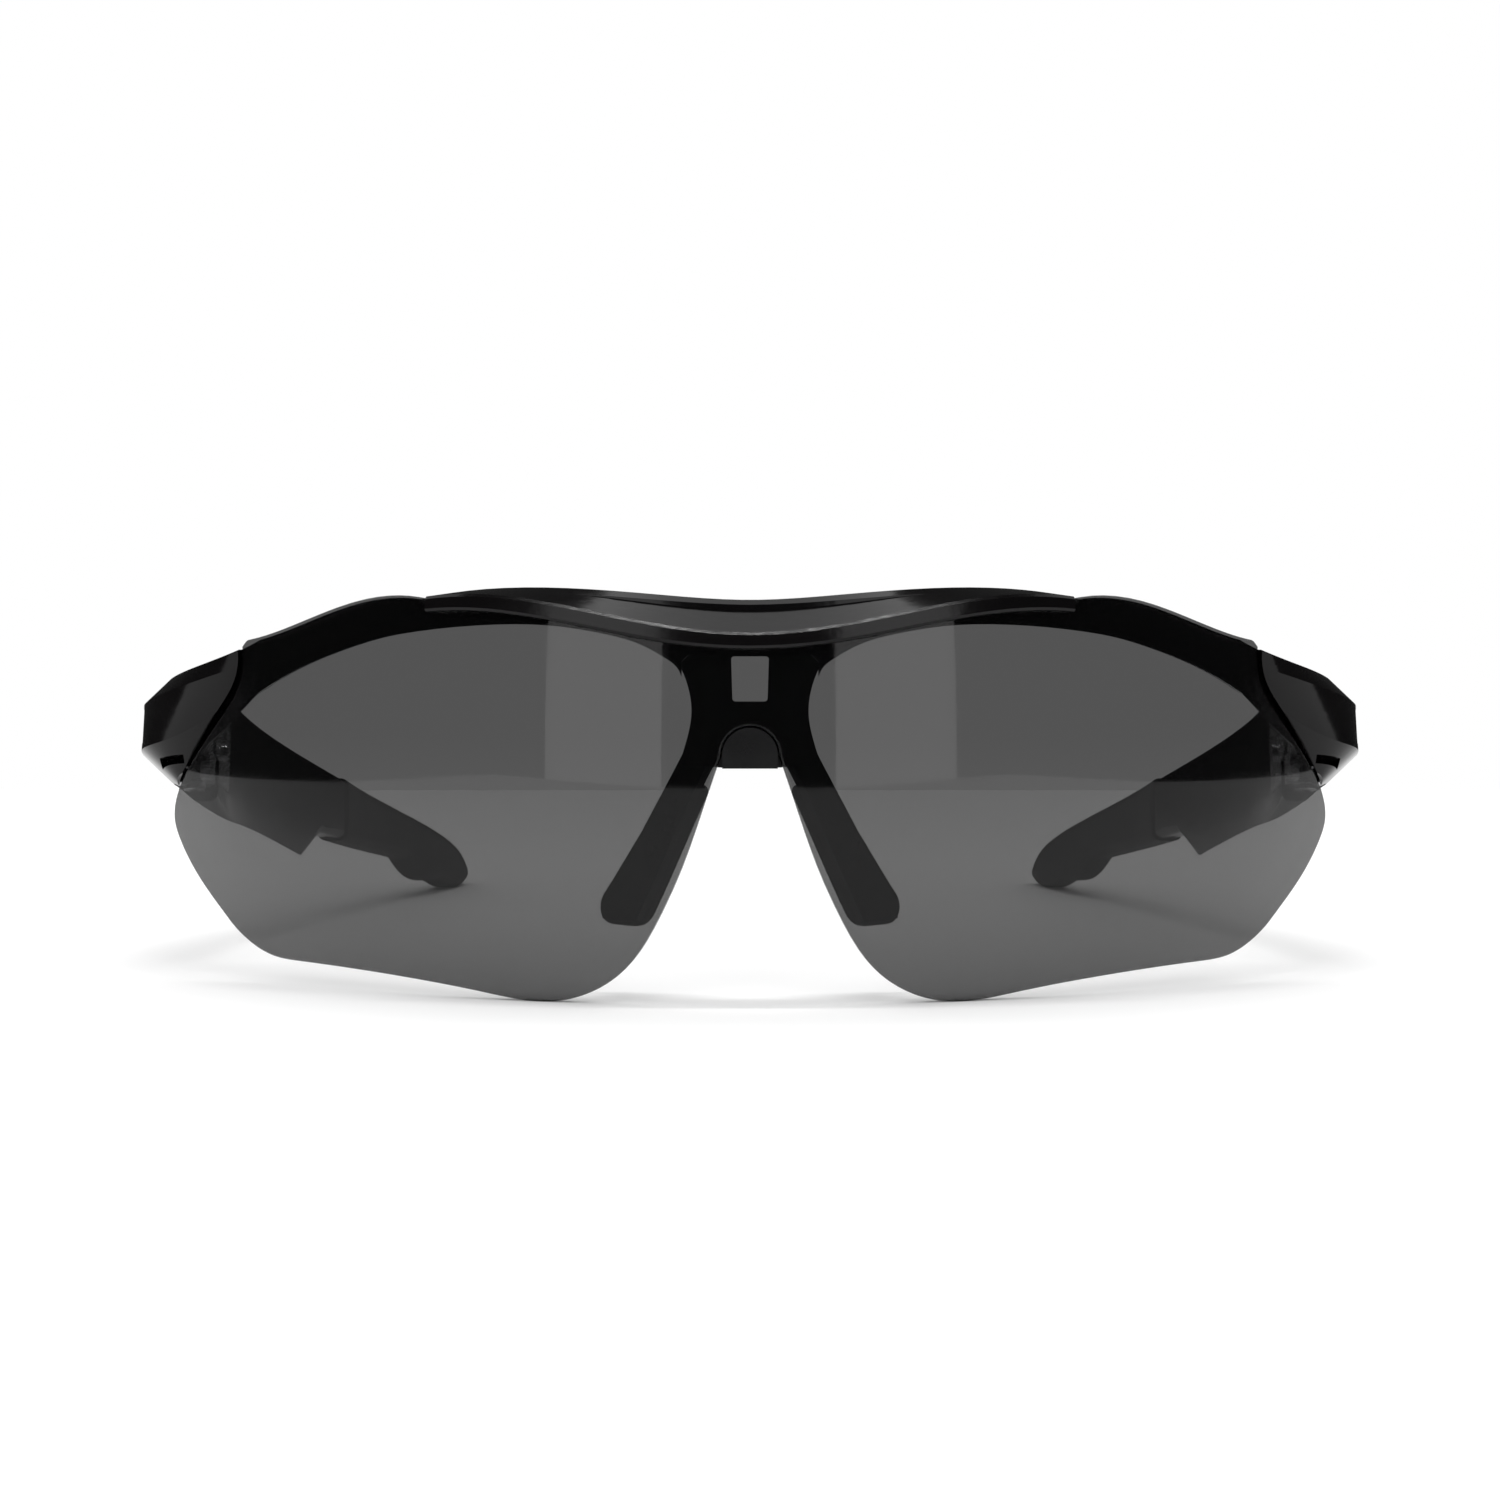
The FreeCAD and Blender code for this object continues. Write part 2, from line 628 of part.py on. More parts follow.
def on_window_corner(edge, corners_x):
    """True for the window's short edges that run from front to back."""
    at_corner = min(abs(abs(edge.CenterOfMass.x) - x) for x in corners_x) < NEAR
    straight_back = edge.BoundBox.XLength < NEAR and edge.BoundBox.YLength > size("bridge_wall") / 2
    return at_corner and straight_back


def at_foot(edge, foot, thickness):
    """True for the short edges across a leg's or pad's thickness at its foot."""
    low = edge.BoundBox.ZMax < foot + NEAR
    return low and abs(edge.Length - thickness) < NEAR


def make_bridge():
    body = body_node("nose_bridge")
    side_line = [
        (BRIDGE_X, BRIDGE_TOP - 1.5),
        (BRIDGE_X - 0.8, BRIDGE_TOP - 3.7),
        (BRIDGE_X - 1.1, BRIDGE_TOP - 6.0),
        (BRIDGE_X - 0.3, BRIDGE_TOP - 10.1),
        (BRIDGE_X + 0.2, BRIDGE_TOP - 11.7),
    ]
    foot = BRIDGE_TOP - 12.1
    foot_x = size("notch_radius") + 0.2
    left = [(foot_x, foot)] + list(reversed(side_line))
    right = [(-x, z) for x, z in reversed(left)]
    top = plate_top(0.0)
    rim = [[(-foot_x, foot), (foot_x, foot)], left[:2], left[1:], right[:-1], right[-2:]]
    corners = [left[-1]] + top + [right[0]]
    rim += [[corners[i], corners[i + 1]] for i in range(len(corners) - 1)]
    plate = sketch_in(body, "bridge_plate", "XZ", [rim])
    plate_back = "Sizes.lens_thickness + 0.6 + Sizes.bridge_wall"
    slab(body, "Pad", plate, "0", plate_back)
    for label, side in SIDES.items():
        root, inner_x, front_y, width, depth = LEG_ROOT
        sections = [(root, leg_section(side, inner_x, front_y, width, depth))]
        for height in spread(LEG_TOP, LEG_FOOT, 5):
            inner_x, front_y, width = (line(height) for line in (leg_x, leg_y, leg_width))
            sections.append((height, leg_section(side, inner_x, front_y, width, size("leg_thickness"))))
        loft_up(body, "nose_leg_" + label, sections)
    front_groove(body, "plate_seat", BEHIND_LENS)
    radius = size("notch_radius") - BOSS_GAP
    crown_z = size("notch_height")
    boss = sketch_in(body, "notch_boss", "XZ", [[
        [(-radius, crown_z), (-radius, foot)],
        [(-radius, foot), (radius, foot)],
        [(radius, foot), (radius, crown_z)],
    ]])
    crown = [Vector(radius, crown_z, 0), Vector(0, crown_z + radius, 0), Vector(-radius, crown_z, 0)]
    boss.addGeometry(Part.Arc(*crown), False)
    slab(body, "Pad", boss, "-1", plate_back)
    front_groove(body, "boss_face", 0.0)
    window_top = BRIDGE_TOP - 0.15
    window_foot = window_top - size("window_height")
    half = size("window_half_width")
    window = sketch_in(body, "window", "XZ", [closed_loop([
        (half - WINDOW_TAPER, window_foot),
        (half, window_top),
        (-half, window_top),
        (WINDOW_TAPER - half, window_foot),
    ])])
    slab(body, "Pocket", window, *THROUGH)
    corners_x = (half, half - WINDOW_TAPER)
    round_edges(body, "window_round", "Sizes.window_round", lambda edge: on_window_corner(edge, corners_x))
    hook_top = BRIDGE_TOP + HOOK_RISE
    wall = R_PLAN - math.sqrt(shell_radius(hook_top, WALL_BACK) ** 2 - TAB_X**2) + NEAR
    for label, side in SIDES.items():
        inner, outer = sorted((side * 2.1, side * TAB_X))
        hook = sketch_in(body, "hook_" + label, "YZ", [closed_loop([
            (3.6, BRIDGE_TOP - 2.2),
            (wall + HOOK_WALL, BRIDGE_TOP - 1.2),
            (wall + HOOK_WALL, hook_top),
            (wall, hook_top),
            (wall, BRIDGE_TOP),
            (3.6, BRIDGE_TOP),
        ])])
        slab(body, "Pad", hook, str(inner), str(outer))
    slot = sketch_in(body, "boss_slot", "XY", [box_loop((-1.0, 1.0), (1.0, 1.9))])
    slab(body, "Pocket", slot, str(foot - 1.0), str(foot + 1.2))
    return body


def make_pad(label, side):
    body = body_node("nose_pad_" + label)
    along = Vector(side, 1, 0) * math.sqrt(0.5)
    across = Vector(-side, 1, 0) * math.sqrt(0.5)
    step = along * PAD_INSET + across * (size("leg_thickness") + size("pad_gap"))
    sections = []
    for height in spread(PAD_TOP, PAD_FOOT, 5):
        inner_x = leg_x(height) + side * step.x
        front_y = leg_y(height) + step.y
        loop = leg_section(side, inner_x, front_y, pad_width(height), size("pad_thickness"))
        sections.append((height, loop))
    loft_up(body, "pad_" + label, sections)
    wall = size("pad_thickness")
    round_edges(body, "pad_corner_" + label, "Sizes.pad_corner", lambda edge: at_foot(edge, PAD_FOOT, wall))
    round_edges(body, "pad_round_" + label, "Sizes.pad_round", lambda edge: True)
    return body


make_bridge()
for label, side in SIDES.items():
    make_pad(label, side)


# ------------------------------------------------------------ hinges
def finish_hinge_body(body, side):
    body.Placement = hinge_placement(side)
    return body


def make_front_hinge(label, side):
    body = body_node("front_hinge_" + label)
    tag = "front_" + label
    outer_end = "Sizes.knuckle_half_height"
    leaf = sketch_in(body, tag + "_leaf", "YZ", [closed_loop(FRONT_LEAF)])
    low, high = leaf_span(side)
    slab(body, "Pad", leaf, low, high)
    barrel = circle_in(body, tag + "_barrel", "XY", (0, 0), "Sizes.knuckle_radius")
    slab(body, "Pad", barrel, "-" + outer_end, outer_end)
    gap = sketch_in(body, tag + "_gap", "XY", [box_loop((-FAR, -LEAF_REACH), (FAR, FAR))])
    neck = "(Sizes.middle_knuckle_half + Sizes.knuckle_gap)"
    slab(body, "Pocket", gap, "-" + neck, neck)
    bore = circle_in(body, tag + "_bore", "XY", (0, 0), "Sizes.pin_radius + Sizes.pin_clearance")
    slab(body, "Pocket", bore, *THROUGH)
    hole = circle_in(body, tag + "_hole", "YZ", FRONT_SCREW, "Sizes.leaf_screw_radius")
    slab(body, "Pocket", hole, *THROUGH)
    return finish_hinge_body(body, side)


def leaf_span(side):
    """Sideways extent of a leaf, flush with the inner side of the endpiece or temple."""
    inner = "-Sizes.block_inner"
    outer = "(Sizes.leaf_thickness - Sizes.block_inner)"
    return (inner, outer) if side > 0 else ("-" + outer, "Sizes.block_inner")


def temple_leaf(grow):
    """Side outline of the temple's leaf: a neck at the middle knuckle's height and a plate behind it."""
    neck = size("middle_knuckle_half") + grow
    plate = 4.2 + grow
    start = LEAF_REACH + 0.3 - grow
    end = 11.6 + grow
    upper = [(0.0, neck), (start, neck), (start, plate), (end - 1.0, plate), (end, plate - 1.0)]
    return closed_loop(upper + [(y, -z) for y, z in reversed(upper)])


TEMPLE_SCREW = (7.0, 0.0)


def make_temple_hinge(label, side):
    body = body_node("temple_hinge_" + label)
    tag = "rear_" + label
    low, high = leaf_span(side)
    leaf = sketch_in(body, tag + "_leaf", "YZ", [temple_leaf(0.0)])
    slab(body, "Pad", leaf, low, high)
    barrel = circle_in(body, tag + "_barrel", "XY", (0, 0), "Sizes.knuckle_radius")
    slab(body, "Pad", barrel, "-Sizes.middle_knuckle_half", "Sizes.middle_knuckle_half")
    bore = circle_in(body, tag + "_bore", "XY", (0, 0), "Sizes.pin_radius + Sizes.pin_clearance")
    slab(body, "Pocket", bore, *THROUGH)
    hole = circle_in(body, tag + "_hole", "YZ", TEMPLE_SCREW, "Sizes.leaf_screw_radius")
    slab(body, "Pocket", hole, *THROUGH)
    return finish_hinge_body(body, side)


def make_hinge_screw(label, side):
    body = body_node("hinge_screw_" + label)
    tag = "pin_" + label
    end = "Sizes.knuckle_half_height"
    shank = circle_in(body, tag + "_shank", "XY", (0, 0), "Sizes.pin_radius")
    slab(body, "Pad", shank, "-" + end, end)
    head = circle_in(body, tag + "_head", "XY", (0, 0), "Sizes.screw_head_radius")
    slab(body, "Pad", head, "-%s - Sizes.screw_head_height" % end, "-" + end)
    slot = sketch_in(body, tag + "_slot", "XY", [box_loop((-FAR, -0.2), (FAR, 0.2))])
    slab(body, "Pocket", slot, "-%s - 1" % end, "-%s - Sizes.screw_head_height / 2" % end)
    return finish_hinge_body(body, side)


SLOT_HALF = 0.15


def leaf_screw(side, centre):
    """Screw with a slotted head, pointing outwards through a leaf."""
    y, z = centre
    outwards = Vector(1, 0, 0)
    radius, length = size("leaf_screw_radius"), size("leaf_screw_length")
    head_radius, head_height = size("leaf_head_radius"), size("leaf_head_height")
    head = Part.makeCylinder(head_radius, head_height, Vector(INNER - head_height, y, z), outwards)
    shank = Part.makeCylinder(radius, length, Vector(INNER, y, z), outwards)
    slot_end = INNER - head_height / 2
    slot = hinge_box((INNER - FAR, y - SLOT_HALF, z - FAR), (slot_end, y + SLOT_HALF, z + FAR))
    screw = head.fuse(shank).cut(slot).removeSplitter()
    screw.Placement = hinge_placement(1.0)
    return screw if side > 0 else mirror_x(screw)


for label, side in SIDES.items():
    make_front_hinge(label, side)
    make_temple_hinge(label, side)
    make_hinge_screw(label, side)
    shape_node("temple_leaf_screw_" + label, leaf_screw(side, TEMPLE_SCREW))
front_screws = [leaf_screw(side, FRONT_SCREW) for side in SIDES.values()]
shape_node("front_leaf_screws", Part.makeCompound(front_screws))

# ------------------------------------------------------------ temples
TIP_START = size("tip_start")
START = size("parting_gap")
inner_line = smooth_line([
    (START, INNER),
    (8.0, INNER + 0.1),
    (18.0, INNER - 0.3),
    (29.0, INNER - 1.8),
    (42.0, INNER - 4.4),
    (59.5, INNER - 8.4),
    (LENGTH - 34.0, INNER - 12.8),
    (LENGTH - 11.0, INNER - 19.6),
    (LENGTH, INNER - 21.4),
])
outer_line = smooth_line([
    (START, OUTER),
    (6.0, OUTER - 0.2),
    (14.0, OUTER - 1.5),
    (29.0, OUTER - 5.6),
    (42.0, OUTER - 9.0),
    (59.5, OUTER - 13.4),
    (LENGTH - 34.0, OUTER - 18.0),
    (LENGTH - 11.0, OUTER - 24.7),
    (LENGTH, OUTER - 26.4),
])
TEMPLE_TOP = [(START, TOP), (20.0, TOP - 0.4), (TIP_START, TOP - 0.7)]
SLOPE_REACH = 36.0
HEEL = (52.3, UNDER + 5.2)
HOOK = (LENGTH - 26.5, UNDER + 8.0)


def under_straight(y):
    """Height of the straight lower edge between the deep front part and the tip's hook."""
    return mix(HEEL[1], HOOK[1], (y - HEEL[0]) / (HOOK[0] - HEEL[0]))


TEMPLE_UNDER = [
    [
        (START, UNDER),
        (5.0, UNDER - 0.8),
        (12.8, UNDER - 1.3),
        (24.0, UNDER - 1.5),
        (32.0, UNDER - 1.6),
        (37.0, UNDER - 1.7),
        (41.0, UNDER - 1.3),
        (44.5, UNDER),
    ],
    [(44.5, UNDER), HEEL],
    [HEEL, (TIP_START, under_straight(TIP_START))],
]
TANG = (UNDER + 8.9, TOP - 2.4)
TANG_STATIONS = 6
TIP_TOP = [
    (TIP_START, TOP - 0.7 + size("tip_proud")),
    (LENGTH - 37.0, TOP - 0.5),
    (LENGTH - 24.0, TOP - 0.7),
    (LENGTH - 12.0, TOP - 1.3),
    (LENGTH - 4.6, TOP - 2.5),
    (LENGTH - 0.9, TOP - 4.2),
]
TIP_UNDER = [
    [(TIP_START, under_straight(TIP_START) - size("tip_proud")), (HOOK[0], HOOK[1] - size("tip_proud"))],
    [
        (HOOK[0], HOOK[1] - size("tip_proud")),
        (LENGTH - 24.2, UNDER + 6.7),
        (LENGTH - 21.0, UNDER + 5.9),
        (LENGTH - 18.0, UNDER + 6.0),
        (LENGTH - 14.6, UNDER + 6.7),
    ],
    [
        (LENGTH - 14.6, UNDER + 6.7),
        (LENGTH - 9.6, REST_Z - 0.35),
        (REST_Y, REST_Z),
        (LENGTH - 4.5, REST_Z + 0.75),
        (LENGTH - 1.8, REST_Z + 2.0),
    ],
]


def band(side, start, end, count, grow_in, grow_out):
    """Plan loop of the strip between the temple's inner and outer faces."""
    stations = spread(start, end, count)
    inner = [(side * (inner_line(y) - grow_in), y) for y in stations]
    outer = [(side * (outer_line(y) + grow_out), y) for y in reversed(stations)]
    return [inner, [inner[-1], outer[0]], outer, [outer[-1], inner[0]]]


def strip(side, line, start, end, count, low, high):
    """Plan loop of a thin strip that follows one face of the temple."""
    stations = spread(start, end, count)
    near = [(side * (line(y) + low), y) for y in stations]
    far = [(side * (line(y) + high), y) for y in reversed(stations)]
    return [near, [near[-1], far[0]], far, [far[-1], near[0]]]


def middle_line(y):
    return (inner_line(y) + outer_line(y)) / 2


def tang_loop(side, half, end_gap):
    """Plan loop of the temple's core inside the soft tip, or of its seat."""
    end = TIP_START + size("tang_length") - end_gap
    return strip(side, middle_line, TIP_START - 2.0, end, TANG_STATIONS, -half, half)


def trim_profile(body, name, top, under):
    """Cut away everything outside a side profile."""
    sheet_edge = box_loop((-FAR, -FAR), (LENGTH + FAR, FAR))
    end_run = [top[-1], under[-1][-1]]
    profile = [top, end_run, [under[0][0], top[0]]] + under
    sketch = sketch_in(body, name, "YZ", [sheet_edge, profile])
    slab(body, "Pocket", sketch, *THROUGH)


def beyond(a, b):
    """The point as far past b as b is past a."""
    return (2 * b[0] - a[0], 2 * b[1] - a[1])


def slope_loops(side, shift):
    """Front view of what the two slopes take off the temple's outer edges, moved inwards by shift."""
    ridge, brink = UPPER_SLOPE
    low = beyond(ridge, brink)
    upper = [
        beyond(ridge, CROWN),
        ridge,
        low,
        (OUTER + FAR, low[1]),
        (OUTER + FAR, TOP + FAR),
        (OUTER - FAR, TOP + FAR),
    ]
    brink, keel = LOWER_SLOPE
    high, low = beyond(keel, brink), beyond(brink, keel)
    lower = [high, low, (OUTER + FAR, low[1]), (OUTER + FAR, high[1])]
    return [closed_loop([(side * (x - shift), z) for x, z in loop]) for loop in (upper, lower)]


def cut_slopes(body, label, side):
    """The slopes lean inwards with the temple's outer face, and run out towards the soft tip."""
    near, far = -5.0, TIP_START - 5.0
    taper = (OUTER - outer_line(SLOPE_REACH)) / SLOPE_REACH
    ends = [(y, slope_loops(side, taper * y)) for y in (near, far)]
    for number in range(2):
        sketches = []
        for y, loops in ends:
            name = "slope_%s_%d_%s" % (label, number, "front" if y == near else "rear")
            sketch = sketch_in(body, name, "XZ", [loops[number]])
            sketch.AttachmentOffset = FreeCAD.Placement(Vector(0, 0, -y), FreeCAD.Rotation())
            sketches.append(sketch)
        loft = body.newObject("PartDesign::SubtractiveLoft", "slope_%s_%d" % (label, number))
        loft.Profile = sketches[0]
        loft.Sections = sketches[1:]
        loft.Ruled = True
        before = body.Shape.Volume
        doc.recompute()
        if body.Shape.Volume >= before:
            raise RuntimeError("%s cuts nothing" % loft.Name)


def make_temple(label, side):
    body = body_node("temple_" + label)
    plan = sketch_in(body, "plan_" + label, "XY", [band(side, START, TIP_START, 7, 0.0, 0.0)])
    slab(body, "Pad", plan, *BLANK)
    trim_profile(body, "profile_" + label, TEMPLE_TOP, TEMPLE_UNDER)
    round_edges(body, "long_round_" + label, "Sizes.temple_round", lambda edge: edge.BoundBox.YLength > 5.0)
    cut_slopes(body, label, side)
    bay = circle_in(body, "bay_" + label, "XY", (0, 0), "Sizes.bay_radius")
    slab(body, "Pocket", bay, THROUGH[0], "Sizes.bay_top")
    far_corner, near_corner = sorted((-side * FAR, 0.0))
    relief_loop = box_loop((far_corner, -1.0), (near_corner, size("bay_reach")))
    relief = sketch_in(body, "relief_" + label, "XY", [relief_loop])
    slab(body, "Pocket", relief, *THROUGH)
    leaf_low, leaf_high = leaf_span(side)
    leaf = sketch_in(body, "leaf_seat_" + label, "YZ", [temple_leaf(size("leaf_clearance"))])
    if side > 0:
        slab(body, "Pocket", leaf, THROUGH[0], leaf_high + " + Sizes.leaf_clearance")
    else:
        slab(body, "Pocket", leaf, leaf_low + " - Sizes.leaf_clearance", THROUGH[1])
    hole = circle_in(body, "screw_seat_" + label, "YZ", TEMPLE_SCREW, "Sizes.leaf_screw_radius")
    hole_end = "(Sizes.leaf_screw_length - Sizes.block_inner)"
    if side > 0:
        slab(body, "Pocket", hole, THROUGH[0], hole_end)
    else:
        slab(body, "Pocket", hole, "-" + hole_end, THROUGH[1])
    panel_end = size("inlay_end") + size("inlay_gap")
    panel_loop = strip(side, outer_line, START - 1.0, panel_end, 5, -size("inlay_depth"), FAR)
    panel = sketch_in(body, "panel_" + label, "XY", [panel_loop])
    slab(body, "Pocket", panel, str(PANEL_LOW), str(PANEL_HIGH))
    half = size("tang_half_thickness")
    tang = sketch_in(body, "tang_" + label, "XY", [tang_loop(side, half, size("tang_gap"))])
    slab(body, "Pad", tang, str(TANG[0]), str(TANG[1]))
    return finish_hinge_body(body, side)


def make_tip(label, side):
    body = body_node("temple_tip_" + label)
    proud = size("tip_proud")
    plan = sketch_in(body, "tip_plan_" + label, "XY", [band(side, TIP_START, LENGTH, 5, proud, proud)])
    slab(body, "Pad", plan, *BLANK)
    trim_profile(body, "tip_profile_" + label, TIP_TOP, TIP_UNDER)
    limit = TIP_START + 0.5
    round_edges(body, "tip_round_" + label, "Sizes.tip_round", lambda edge: edge.CenterOfMass.y > limit)
    clearance = size("tang_clearance")
    half = size("tang_half_thickness") + clearance
    tang = sketch_in(body, "tang_seat_" + label, "XY", [tang_loop(side, half, 0.0)])
    slab(body, "Pocket", tang, str(TANG[0] - clearance), str(TANG[1] + clearance))
    return finish_hinge_body(body, side)


def make_inlay(label, side):
    body = body_node("side_inlay_" + label)
    gap = size("inlay_gap")
    low = -size("inlay_depth") + gap
    high = low + size("inlay_thickness")
    loop = strip(side, outer_line, size("inlay_start"), size("inlay_end"), 5, low, high)
    plan = sketch_in(body, "inlay_plan_" + label, "XY", [loop])
    slab(body, "Pad", plan, str(PANEL_LOW + gap), str(PANEL_HIGH - gap))
    return finish_hinge_body(body, side)


for label, side in SIDES.items():
    make_temple(label, side)
    make_tip(label, side)
    make_inlay(label, side)

# ------------------------------------------------------------ placing, checking and writing
doc.recompute()
nodes = [item for item in doc.Objects if item.TypeId in ("Part::Feature", "PartDesign::Body")]
footprint = FreeCAD.BoundBox()
for node in nodes:
    footprint.add(node.Shape.optimalBoundingBox())
shift = Vector(0, -footprint.Center.y, 0)
for node in nodes:
    node.Placement = FreeCAD.Placement(shift, FreeCAD.Rotation()).multiply(node.Placement)
doc.recompute()
for item in doc.Objects:
    if "Invalid" in item.State or "Error" in item.State:
        raise RuntimeError("%s is %s" % (item.Label, item.State))
for node in nodes:
    if node.Shape.isNull() or not node.Shape.isValid():
        raise RuntimeError("%s has no valid shape" % node.Label)
print("nodes %d, footprint %s" % (len(nodes), footprint))
print("hinge axis at y %.3f, z %.3f, tilt %.3f degrees" % (HINGE_Y + shift.y, HINGE_Z, TILT))
os.makedirs("parts", exist_ok=True)
for node in nodes:
    node.Shape.exportStep("parts/%s.step" % node.Label)
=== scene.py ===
import math

import bpy
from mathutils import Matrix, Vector


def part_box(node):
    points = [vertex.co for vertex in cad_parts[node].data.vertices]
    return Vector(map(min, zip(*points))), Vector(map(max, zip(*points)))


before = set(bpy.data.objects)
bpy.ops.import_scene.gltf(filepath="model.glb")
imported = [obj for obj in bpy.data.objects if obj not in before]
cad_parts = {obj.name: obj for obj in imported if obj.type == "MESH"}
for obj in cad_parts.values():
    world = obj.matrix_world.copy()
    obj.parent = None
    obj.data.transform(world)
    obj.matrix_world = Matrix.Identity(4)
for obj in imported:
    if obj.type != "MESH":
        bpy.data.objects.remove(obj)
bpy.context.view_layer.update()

scene = bpy.context.scene

# ---------------------------------------------------------------- camera
CAMERA_Y = -0.462
CAMERA_Z = 0.0478
CAMERA_PITCH = 2.98
LENS_MM = 87.14
SENSOR_MM = 36.0


def make_camera():
    data = bpy.data.cameras.new("camera")
    data.lens = LENS_MM
    data.sensor_width = SENSOR_MM
    camera = bpy.data.objects.new("camera", data)
    camera.location = (0.0, CAMERA_Y, CAMERA_Z)
    camera.rotation_euler = (math.radians(90.0 - CAMERA_PITCH), 0.0, 0.0)
    scene.collection.objects.link(camera)
    scene.camera = camera


# ---------------------------------------------------------------- materials
LENS_UPPER_TINT = (0.002, 0.002, 0.0021)
LENS_LOWER_TINT = (0.003, 0.003, 0.0031)
LENS_ALPHA = (0.684, 0.708)
LENS_GRADE = (0.35, 0.65)


# Noise in cells per metre: plastic has clouds of colour, patches of roughness and a fine grain.
CLOUD_SCALE = 60.0
PATCH_SCALE = 140.0
FINE_GRAIN = 900.0
FINE_GRAIN_DEPTH = 0.00001
RUBBER_GRAIN = 2200.0
RUBBER_GRAIN_DEPTH = 0.000004
BRUSH_SCALE = 500.0
BRUSH_STRETCH = (1.0, 1.0, 14.0)
BRUSH_DEPTH = 0.00001
POLYCARBONATE_IOR = 1.586
LENS_SPECULAR = 0.2
LENS_ROUGHNESS = (0.015, 0.04)
LENS_PATCH_SCALE = 80.0
LENS_WAVE_SCALE = 30.0
LENS_WAVE_DEPTH = 0.000002


class Nodes:
    """Small helper that adds shader nodes and links to one material."""

    def __init__(self, name):
        self.material = bpy.data.materials.new(name)
        self.material.use_nodes = True
        self.tree = self.material.node_tree
        self.shader = self.tree.nodes["Principled BSDF"]

    def add(self, kind, **settings):
        node = self.tree.nodes.new("ShaderNode" + kind)
        for key, value in settings.items():
            if key in node.inputs:
                node.inputs[key].default_value = value
            else:
                setattr(node, key, value)
        return node

    def link(self, source, target):
        self.tree.links.new(source, target)

    def noise(self, scale, detail=3.0, roughness=0.5, stretch=None):
        coords = self.add("TexCoord")
        place = coords.outputs["Object"]
        if stretch:
            mapping = self.add("Mapping")
            mapping.inputs["Scale"].default_value = stretch
            self.link(place, mapping.inputs["Vector"])
            place = mapping.outputs["Vector"]
        noise = self.add("TexNoise", Scale=scale, Detail=detail, Roughness=roughness)
        self.link(place, noise.inputs["Vector"])
        return noise.outputs["Fac"]

    def height_share(self, low, high):
        """0 at the height low and 1 at the height high."""
        split = self.add("SeparateXYZ")
        self.link(self.add("TexCoord").outputs["Object"], split.inputs["Vector"])
        return self.ramp(split.outputs["Z"], 0.0, 1.0, (low, high))

    def ramp(self, source, low, high, at=(0.3, 0.7)):
        """Maps a 0..1 value to the range low..high."""
        node = self.add("MapRange")
        node.inputs["From Min"].default_value = at[0]
        node.inputs["From Max"].default_value = at[1]
        node.inputs["To Min"].default_value = low
        node.inputs["To Max"].default_value = high
        self.link(source, node.inputs["Value"])
        return node.outputs["Result"]

    def colour(self, source, dark, light, at=(0.3, 0.7)):
        node = self.add("ValToRGB")
        node.color_ramp.elements[0].position = at[0]
        node.color_ramp.elements[0].color = (*dark, 1.0)
        node.color_ramp.elements[1].position = at[1]
        node.color_ramp.elements[1].color = (*light, 1.0)
        self.link(source, node.inputs["Fac"])
        return node.outputs["Color"]

    def bump(self, source, distance, strength=1.0):
        node = self.add("Bump")
        node.inputs["Distance"].default_value = distance
        node.inputs["Strength"].default_value = strength
        self.link(source, node.inputs["Height"])
        self.link(node.outputs["Normal"], self.shader.inputs["Normal"])


def plastic(name, dark, light, rough, grain=FINE_GRAIN, grain_depth=FINE_GRAIN_DEPTH, specular=0.5):
    n = Nodes(name)
    cloud = n.noise(CLOUD_SCALE, 4.0)
    n.link(n.colour(cloud, dark, light), n.shader.inputs["Base Color"])
    n.link(n.ramp(n.noise(PATCH_SCALE, 5.0, 0.6), *rough), n.shader.inputs["Roughness"])
    n.bump(n.noise(grain, 2.0), grain_depth)
    n.shader.inputs["Specular IOR Level"].default_value = specular
    return n.material


def metal(name, dark, light, rough):
    n = Nodes(name)
    brushed = n.noise(BRUSH_SCALE, 3.0, 0.6, BRUSH_STRETCH)
    n.link(n.colour(brushed, dark, light), n.shader.inputs["Base Color"])
    n.link(n.ramp(brushed, *rough), n.shader.inputs["Roughness"])
    n.bump(brushed, BRUSH_DEPTH)
    n.shader.inputs["Metallic"].default_value = 1.0
    return n.material


def smoked_lens():
    """Grey tinted polycarbonate, whose tint and opacity change a little from the lower edge to the brow."""
    n = Nodes("smoked_lens")
    n.shader.inputs["IOR"].default_value = POLYCARBONATE_IOR
    n.shader.inputs["Specular IOR Level"].default_value = LENS_SPECULAR
    low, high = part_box("shield_lens")
    height = n.height_share(low[2], high[2])
    tint = n.colour(height, LENS_LOWER_TINT, LENS_UPPER_TINT, LENS_GRADE)
    n.link(tint, n.shader.inputs["Base Color"])
    n.link(n.ramp(n.noise(LENS_PATCH_SCALE, 4.0), *LENS_ROUGHNESS), n.shader.inputs["Roughness"])
    n.link(n.ramp(height, *LENS_ALPHA, LENS_GRADE), n.shader.inputs["Alpha"])
    n.bump(n.noise(LENS_WAVE_SCALE, 2.0), LENS_WAVE_DEPTH)
    return n.material


def assign(material, *names):
    for name in names:
        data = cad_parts[name].data
        data.materials.clear()
        data.materials.append(material)


